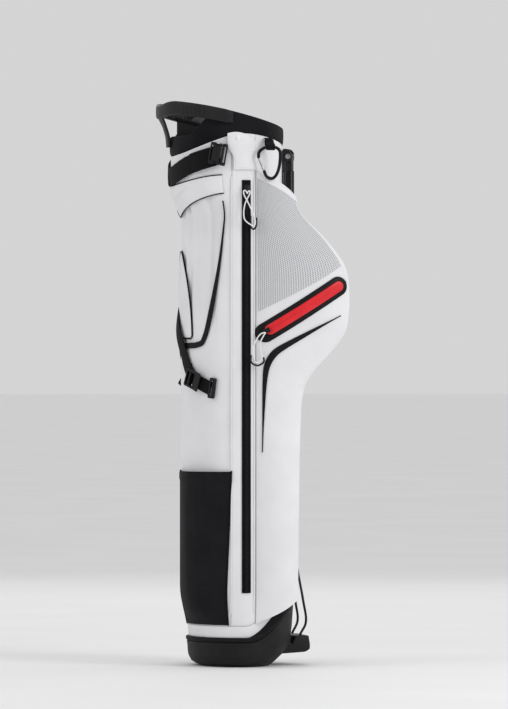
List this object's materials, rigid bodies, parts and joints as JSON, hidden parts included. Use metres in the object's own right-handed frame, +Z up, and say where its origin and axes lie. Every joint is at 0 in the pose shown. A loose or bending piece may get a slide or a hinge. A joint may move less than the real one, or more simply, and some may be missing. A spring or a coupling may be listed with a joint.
{
  "type": "golf stand bag",
  "caption": "Upright golf bag: oval fabric tube on a moulded boot, slanted padded collar with club divider and grab handle, side pockets with zips, carrying straps and a sprung folding stand.",
  "frame": {"origin": "centre of the boot's flat sole, on the surface the bag stands on", "axes": "+Z up along the tube, +X towards the stand's legs, -X towards the carrying straps, -Y towards the side with the coloured pocket zip"},
  "size_m": [0.2878, 0.2501, 0.8749],
  "materials": {
    "white_fabric": "matte",
    "grey_mesh": "matte",
    "black_fabric": "matte",
    "black_webbing": "matte",
    "red_coating": "satin",
    "black_plastic": "satin",
    "boot_plastic": "matte",
    "leg_metal": "satin",
    "steel": "satin",
    "foot_rubber": "matte"
  },
  "bodies": {
    "bag": {"lower_band": "white_fabric", "rear_panel": "white_fabric", "near_side_panel": "white_fabric", "far_side_panel": "white_fabric", "front_panel": "white_fabric", "yoke_band": "white_fabric", "near_pocket": "white_fabric", "far_pocket": "white_fabric", "near_side_tab": "white_fabric", "far_side_tab": "white_fabric", "hip_pad": "white_fabric", "near_mesh_panel": "grey_mesh", "divider_sheet": "black_fabric", "collar": "black_fabric", "chevron_trim": "black_fabric", "rear_trim": "black_fabric", "drink_pouch": "black_fabric", "shoulder_pad_a": "black_fabric", "shoulder_pad_b": "black_fabric", "near_upper_strap": "black_webbing", "far_upper_strap": "black_webbing", "near_lower_strap": "black_webbing", "far_lower_strap": "black_webbing", "hook_loop": "black_webbing", "pocket_zip": "red_coating", "base_welt": "black_plastic", "near_stay": "black_plastic", "far_stay": "black_plastic", "divider_frame": "black_plastic", "grab_handle": "black_plastic", "pocket_zip_surround": "black_plastic", "near_side_zip": "black_plastic", "far_side_zip": "black_plastic", "near_upper_buckle": "black_plastic", "far_upper_buckle": "black_plastic", "near_lower_buckle": "black_plastic", "far_lower_buckle": "black_plastic", "near_leg_bracket": "black_plastic", "far_leg_bracket": "black_plastic", "base_cup": "boot_plastic", "near_hinge_pin": "steel", "far_hinge_pin": "steel", "plate_pin": "steel"},
    "near_leg": {"near_leg_knuckle": "black_plastic", "near_leg_tube": "leg_metal", "near_leg_foot": "foot_rubber"},
    "far_leg": {"far_leg_knuckle": "black_plastic", "far_leg_tube": "leg_metal", "far_leg_foot": "foot_rubber"},
    "foot_lever": {"foot_plate": "black_plastic"},
    "near_wire": {"near_wire": "steel"},
    "far_wire": {"far_wire": "steel"},
    "carabiner": {"carabiner": "black_plastic"},
    "carabiner_gate": {"carabiner_gate": "steel"},
    "near_slider": {"near_side_slider": "black_plastic", "near_side_pull": "black_plastic"},
    "far_slider": {"far_side_slider": "black_plastic", "far_side_pull": "black_plastic"},
    "pocket_slider": {"pocket_slider": "black_plastic", "pocket_pull": "black_plastic"}
  },
  "joints": [
    {"name": "near_leg_swing", "type": "hinge", "parent": "bag", "child": "near_leg", "pos_m": [0.076, -0.03, 0.791], "axis": [-0.4384, -0.8988, 0], "range_deg": [0, 30], "stiffness_Nm_per_rad": 0.3},
    {"name": "far_leg_swing", "type": "hinge", "parent": "bag", "child": "far_leg", "pos_m": [0.076, 0.03, 0.791], "axis": [0.4384, -0.8988, 0], "range_deg": [0, 30], "stiffness_Nm_per_rad": 0.3},
    {"name": "foot_lever_tilt", "type": "hinge", "parent": "bag", "child": "foot_lever", "pos_m": [0.06, 0, 0.022], "axis": [0, -1, 0], "range_deg": [0, 18.01]},
    {"name": "near_wire_lift", "type": "slide", "parent": "bag", "child": "near_wire", "axis": [0, 0, 1], "range_m": [0, 0.0145]},
    {"name": "far_wire_lift", "type": "slide", "parent": "bag", "child": "far_wire", "axis": [0, 0, 1], "range_m": [0, 0.0145]},
    {"name": "carabiner_swing", "type": "hinge", "parent": "bag", "child": "carabiner", "pos_m": [0.029, -0.107, 0.803], "axis": [-1, 0, 0], "range_deg": [0, 60]},
    {"name": "gate_swing", "type": "hinge", "parent": "carabiner", "child": "carabiner_gate", "pos_m": [0.0186, -0.107, 0.767], "axis": [0, 1, 0], "range_deg": [0, 20], "stiffness_Nm_per_rad": 0.005},
    {"name": "near_zip_slide", "type": "slide", "parent": "bag", "child": "near_slider", "axis": [0, 0, -1], "range_m": [0, 0.55]},
    {"name": "far_zip_slide", "type": "slide", "parent": "bag", "child": "far_slider", "axis": [0, 0, -1], "range_m": [0, 0.55]},
    {"name": "pocket_zip_slide", "type": "slide", "parent": "bag", "child": "pocket_slider", "axis": [0.8288, -0.2678, 0.4913], "range_m": [0, 0.045]}
  ],
  "couplings": [
    {"joint": "far_leg_swing", "follows": "near_leg_swing", "ratio": 1},
    {"joint": "foot_lever_tilt", "follows": "near_leg_swing", "ratio": 0.6},
    {"joint": "near_wire_lift", "follows": "near_leg_swing", "m_per_rad": 0.026738},
    {"joint": "far_wire_lift", "follows": "near_leg_swing", "m_per_rad": 0.026738}
  ]
}
